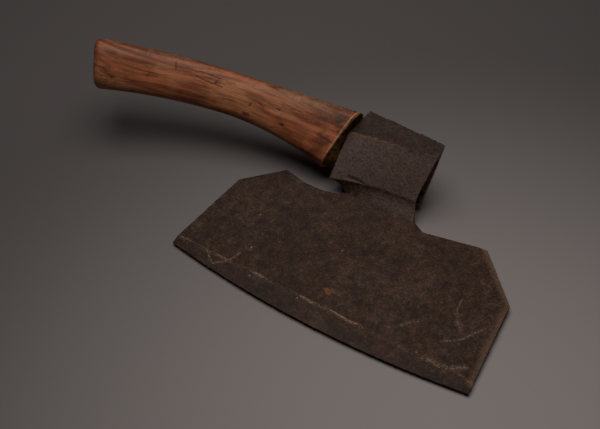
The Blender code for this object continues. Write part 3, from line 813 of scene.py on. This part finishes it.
def wood(name):
    """Old oiled hardwood: long grain, dark pores, golden streaks, grime and painted shade, and a soft
    polish.
    """
    g = Graph(name)
    grain = g.attribute("grain", "Vector")
    streaks = g.noise(STREAKS, g.stretched(STREAK_STRETCH, grain), STREAK_WAVE)
    fine = g.noise(FIBRES, g.stretched(FIBRE_STRETCH, grain), FIBRE_WAVE)
    broad = g.noise(BROAD_GRAIN, g.stretched(BROAD_STRETCH, grain), BROAD_WAVE)
    rings = g.bands(RING_SIZE, RING_WAVE, RING_DETAIL, g.stretched(RING_STRETCH, grain))
    colour = g.blend(g.ramp(streaks, STREAK_TONES), WOOD_DARK, WOOD_RED)
    gold = g.maths("MULTIPLY", g.ramp(broad, GOLDEN_PLACES), g.ramp(fine, GOLDEN_FIBRES))
    colour = g.blend(g.maths("MULTIPLY", gold, GOLDEN_SHARE), colour, WOOD_GOLD)
    colour = g.blend(g.ramp(rings, RING_TONES), colour, WOOD_DARK)
    colour = g.blend(g.ramp(fine, PORES), colour, WOOD_GRIME_AND_SHADE)
    colour = g.blend(g.ramp(g.noise(SMUDGES), SMUDGE_TONES), colour, WOOD_GRIME_AND_SHADE)
    colour = g.blend(g.ramp(g.noise(FLECKS), FLECK_TONES), colour, WOOD_GOLD)
    raw = g.attribute("raw")
    raw_colour = g.blend(g.ramp(g.noise(RAW_GRAIN), RAW_TONES), RAW_SHADE, RAW_WOOD)
    colour = g.blend(raw, colour, raw_colour)
    # Darkens in patches where grime and painted shade are painted.
    grime_and_shade = g.maths("MULTIPLY", g.attribute("grime_and_shade"), g.ramp(g.noise(GRIME_AND_SHADE_PATCHES), GRIME_AND_SHADE_TONES))
    colour = g.blend(grime_and_shade, colour, WOOD_GRIME_AND_SHADE)
    arris = g.maths("MULTIPLY", g.attribute("worn"), g.ramp(fine, ARRIS_FIBRES))
    colour = g.blend(arris, colour, WOOD_GOLD)
    gloss = g.blend(raw, g.ramp(streaks, STREAK_GLOSS), RAW_ROUGHNESS)
    normal = g.bump(fine, FIBRE_BUMP, FIBRE_STRENGTH)
    normal = g.bump(g.noise(HOLLOWS), HOLLOW_BUMP, HOLLOW_STRENGTH, normal)
    return g.finish(colour, gloss, normal, WOOD_SPECULAR)


# Each dent in the grip: its place, its size along and across the grip, its depth and its darkness.
DINGS = (
    ((-0.1263, 0.0752, 0.0483), (0.0044, 0.0024), 0.00050, 1.0),
    ((-0.1639, 0.0667, 0.0505), (0.0060, 0.0022), 0.00025, 0.75),
    ((-0.1632, 0.0754, 0.0576), (0.0020, 0.0040), 0.00025, 0.7),
    ((-0.2033, 0.0742, 0.0696), (0.0026, 0.0034), 0.00020, 0.7),
    ((-0.2648, 0.0454, 0.0724), (0.0090, 0.0022), 0.00015, 0.55),
    ((-0.2992, 0.0238, 0.0726), (0.0060, 0.0030), 0.00015, 0.6),
    ((-0.1345, 0.0850, 0.0570), (0.0034, 0.0020), 0.00015, 0.55),
    ((-0.0741, 0.1021, 0.0617), (0.0070, 0.0080), 0.00010, 0.8),
    ((-0.0900, 0.0760, 0.0420), (0.0060, 0.0050), 0.00010, 0.5),
)

# Each fine crack in the grip, from its start to its end.
CRACKS = (
    ((-0.2241, 0.0689, 0.0734), (-0.2120, 0.0700, 0.0710)),
    ((-0.2120, 0.0700, 0.0710), (-0.1957, 0.0740, 0.0672)),
    ((-0.2230, 0.0740, 0.0770), (-0.2010, 0.0790, 0.0720)),
    ((-0.2480, 0.0700, 0.0830), (-0.2440, 0.0620, 0.0770)),
    ((-0.1560, 0.0800, 0.0590), (-0.1490, 0.0790, 0.0570)),
)
CRACK_WIDTH = 0.0011
CRACK_DEPTH = 0.00025
CRACK_DARK = 0.95
CRACK_WAVER = 0.0008
RAGGED = 0.35
RAGGED_SIZE = 0.0028

# How far the grip's broad side leans up from Y, and how it was shaved and how its fibres stand.
WIDE_SLOPE = math.radians(38)
SHAVED_DEPTH = 0.00045
SHAVED_SIZE = (0.060, 0.012, 0.012)
FIBRE_DEPTH = 0.00007
FIBRE_SIZE = (0.020, 0.0016, 0.0016)

# Where the grip is grimy, darkened, painted with shade, worn or bare, along it and across its broad
# side.
SHOULDER_FADE = 0.001
SHOULDER_GRIME_X = (-0.130, -0.070)
SHOULDER_PATCHES = Patches(0.014, 0.05, 0.55, 61, 3)
LOW_SIDE = (0.006, 0.022)
LOW_SIDE_THICK = (0.004, 0.014)
UPPER_END = (0.012, 0.020)
UPPER_END_X = (-0.110, -0.075)
UPPER_SIDE = (0.008, 0.024)
IN_EYE_X = (0.0, 0.02)
# The grip is darker towards the butt, over this reach.
BUTT_REACH = 0.060
BUTT_RIM_X = 0.0046
BUTT_RIM_WIDTH = 0.0016
ARRIS_BACK = 0.0003
ARRIS_WIDTH = 0.0012
FACE_LIMITS = (-0.0004, 0.0008)
DING_EDGE = (0.45, 1.0)
TOP_FADE = 0.002

# What is painted on the handle, and how strongly.
# The low side, and the upper side with its end near the shoulder, are darkened as painted shade; the
# butt is darker towards its end; the marks and the shoulder's patches are grime.
GRIP_GRIME_AND_SHADE = {
    "marks": 1.0,
    "shoulder": 0.72,
    "low_side": 0.12,
    "upper_end": 0.66,
    "upper_side": 0.66,
    "butt": 0.52,
}
# The tenon inside the eye is darkened as painted shade.
IN_EYE_PAINTED_SHADE = 0.75
HANDLE_WORN = {"arris": 0.80, "butt_rim": 0.35}


def nearest(points, place):
    """The number of the point that is nearest to a place."""
    return int(np.argmin(np.linalg.norm(points - np.array(place), axis=1)))


def marks_on_grip(points, grain, on_top):
    """How deep the dents and cracks are at each point of the grip, and how dark."""
    depth = np.zeros(len(points))
    dark = np.zeros(len(points))
    ragged = RAGGED * rough(points, RAGGED_SIZE, seed=57)
    for place, size, sunk, darkness in DINGS:
        middle = grain[nearest(points, place)]
        offset = (grain[:, :2] - middle[:2]) / np.array(size)
        inside = (1 - step(*DING_EDGE, np.linalg.norm(offset, axis=1) + ragged)) * on_top
        depth += sunk * inside
        dark = np.maximum(dark, darkness * inside)
    wavy = grain + CRACK_WAVER * ragged[:, None]
    for start, end in CRACKS:
        ends = [grain[nearest(points, place)][:2] for place in (start, end)]
        inside = near_line(wavy, *ends, CRACK_WIDTH) * on_top
        depth += CRACK_DEPTH * inside
        dark = np.maximum(dark, CRACK_DARK * inside)
    return depth, dark


def finish_handle(piece, look):
    """Shaves and marks the grip, and paints its grime, a darkening towards the butt, painted shade on
    its upper and lower sides and inside the eye, its bare shoulder face and its worn arris.
    """
    mesh = piece.data
    points = points_of(mesh)
    normals = normals_of(mesh)
    x = points[:, 0]
    across = points[:, 1:] - centre_line(points)
    wide = across[:, 0] * math.cos(WIDE_SLOPE) + across[:, 1] * math.sin(WIDE_SLOPE)
    thick = -across[:, 0] * math.sin(WIDE_SLOPE) + across[:, 1] * math.cos(WIDE_SLOPE)
    grain = np.stack([x, wide, thick], axis=1)
    on_grip = 1 - step(-SHOULDER_FADE, SHOULDER_FADE, x - SHOULDER_X)
    shaved = SHAVED_DEPTH * uneven(grain, np.array(SHAVED_SIZE), seed=51)
    fibre = FIBRE_DEPTH * uneven(grain, np.array(FIBRE_SIZE), seed=53)
    marks, dark = marks_on_grip(points, grain, step(-TOP_FADE, TOP_FADE, thick))
    depth = (shaved + fibre) * on_grip + marks
    put(mesh, points - normals * depth[:, None])
    paint_vector(mesh, "grain", grain)

    past_arris = x - SHOULDER_X - SHOULDER_LEAN * wide
    face = step(*FACE_LIMITS, past_arris)
    fields = {
        "marks": dark,
        "shoulder": step(*SHOULDER_GRIME_X, x) * patches(points, SHOULDER_PATCHES),
        "low_side": step(*LOW_SIDE, -wide) * (1 - step(*LOW_SIDE_THICK, thick)),
        "upper_end": step(*UPPER_END, wide) * step(*UPPER_END_X, x),
        "upper_side": step(*UPPER_SIDE, wide),
        "butt": 1 - step(HANDLE_LOW.x, HANDLE_LOW.x + BUTT_REACH, x),
        "arris": 1 - step(0.0, ARRIS_WIDTH, np.abs(past_arris + ARRIS_BACK)),
        "butt_rim": 1 - step(0.0, BUTT_RIM_WIDTH, np.abs(x - HANDLE_LOW.x - BUTT_RIM_X)),
    }
    # Grime and painted shade together; the bare shoulder face is left clear of both.
    grip_grime_and_shade = strongest(fields, GRIP_GRIME_AND_SHADE) * (1 - face)
    paint(mesh, "grime_and_shade", np.maximum(grip_grime_and_shade, IN_EYE_PAINTED_SHADE * step(*IN_EYE_X, x)))
    paint(mesh, "raw", face)
    paint(mesh, "worn", strongest(fields, HANDLE_WORN))
    mesh.materials.append(look)
    return piece


handle = finish_handle(fine_copy("handle", "wooden_handle", HANDLE_VOXEL, 4), wood("handle_wood"))


WEDGE_DEPTH = 0.00008
WEDGE_WAVE = 0.0020
WEDGE_GRIME = 0.35


def finish_wedge(piece, look):
    """Roughens the wedge and paints it as bare wood."""
    mesh = piece.data
    points = points_of(mesh)
    depth = WEDGE_DEPTH * uneven(points, WEDGE_WAVE, seed=71)
    put(mesh, points - normals_of(mesh) * depth[:, None])
    paint_vector(mesh, "grain", points)
    for name, share in (("grime_and_shade", WEDGE_GRIME), ("raw", 1.0), ("worn", 0.0)):
        paint(mesh, name, np.full(len(points), share))
    mesh.materials.append(look)
    return piece


wedge = finish_wedge(fine_copy("eye_wedge", "driven_wedge", WEDGE_VOXEL, 1), wood("wedge_wood"))

for piece, node, slot in (
    (blade, "blade_body", "blade_iron"),
    (steel, "cutting_steel", "edge_steel"),
    (strap, "eye_strap", "eye_iron"),
    (handle, "handle", "handle_wood"),
    (wedge, "eye_wedge", "wedge_wood"),
):
    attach(piece, "root")
    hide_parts(node)


# Floor, light and camera

FLOOR_HALF = 3.0
FLOOR_Z = -0.0002
# The floor's colour carries a painted pool of light, palest around one place and dimmer away from it.
FLOOR_PAINTED_POOL_LIT = (0.52, 0.452, 0.438)
FLOOR_PAINTED_POOL_FALLOFF = (0.114, 0.100, 0.098)
PAINTED_POOL_PLACE = (0.27, -0.22)
PAINTED_POOL_REACH = 0.66
PAINTED_POOL_CORE = 0.05
FLOOR_ROUGHNESS = 0.75
FLOOR_GRAIN = Texture(0.0015, 2.0)
FLOOR_BUMP = 0.0001
FLOOR_STRENGTH = 0.15


def make_floor():
    """A plain floor with a painted pool of light: palest in front of the axe and dimmer away from
    there.
    """
    mesh = bpy.data.meshes.new("floor")
    shape = bmesh.new()
    bmesh.ops.create_grid(shape, x_segments=2, y_segments=2, size=FLOOR_HALF)
    shape.to_mesh(mesh)
    shape.free()
    floor = bpy.data.objects.new("floor", mesh)
    floor.location.z = FLOOR_Z
    bpy.context.scene.collection.objects.link(floor)
    g = Graph("floor_painted_light_pool")
    shift = g.nodes.new("ShaderNodeVectorMath")
    shift.operation = "DISTANCE"
    g.join(g.place, shift.inputs[0])
    shift.inputs[1].default_value = (*PAINTED_POOL_PLACE, 0.0)
    share = g.ramp(shift.outputs["Value"], Ramp(PAINTED_POOL_CORE, PAINTED_POOL_REACH))
    colour = g.blend(share, FLOOR_PAINTED_POOL_LIT, FLOOR_PAINTED_POOL_FALLOFF)
    g.finish(colour, FLOOR_ROUGHNESS, g.bump(g.noise(FLOOR_GRAIN), FLOOR_BUMP, FLOOR_STRENGTH))
    mesh.materials.append(g.material)


LIGHT_PLACE = (-0.20, 0.21, 0.95)
LIGHT_TARGET = (-0.06, 0.02, 0.03)
LIGHT_SIZE = 0.88
LIGHT_POWER = 5.0
LIGHT_COLOUR = (1.0, 0.975, 0.94)
ROOM_COLOUR = (0.95, 0.97, 1.0, 1.0)
ROOM_STRENGTH = 0.005


def make_light():
    """One wide softbox above the axe, and a very faint even light from the room."""
    data = bpy.data.lights.new("overhead", "AREA")
    data.shape = "RECTANGLE"
    data.size = LIGHT_SIZE
    data.size_y = LIGHT_SIZE
    data.energy = LIGHT_POWER
    data.color = LIGHT_COLOUR
    lamp = bpy.data.objects.new("overhead", data)
    lamp.location = LIGHT_PLACE
    aim = Vector(LIGHT_TARGET) - Vector(LIGHT_PLACE)
    lamp.rotation_euler = aim.to_track_quat("-Z", "Y").to_euler()
    bpy.context.scene.collection.objects.link(lamp)
    world = bpy.data.worlds.new("studio")
    world.use_nodes = True
    background = world.node_tree.nodes["Background"]
    background.inputs["Color"].default_value = ROOM_COLOUR
    background.inputs["Strength"].default_value = ROOM_STRENGTH
    bpy.context.scene.world = world
    bpy.context.scene.view_settings.view_transform = "Standard"


CAMERA_PLACE = (0.2148, -0.4428, 0.6141)
CAMERA_FORWARD = (-0.347, 0.564, -0.749)
CAMERA_LENS = 50.0
CAMERA_NEAR = 0.01


def make_camera():
    """The camera, looking down at the axe from the edge's side."""
    camera = bpy.data.objects.new("camera", bpy.data.cameras.new("camera"))
    camera.data.lens = CAMERA_LENS
    camera.data.clip_start = CAMERA_NEAR
    camera.location = CAMERA_PLACE
    camera.rotation_euler = Vector(CAMERA_FORWARD).to_track_quat("-Z", "Y").to_euler()
    bpy.context.scene.collection.objects.link(camera)
    bpy.context.scene.camera = camera


make_floor()
make_light()
make_camera()
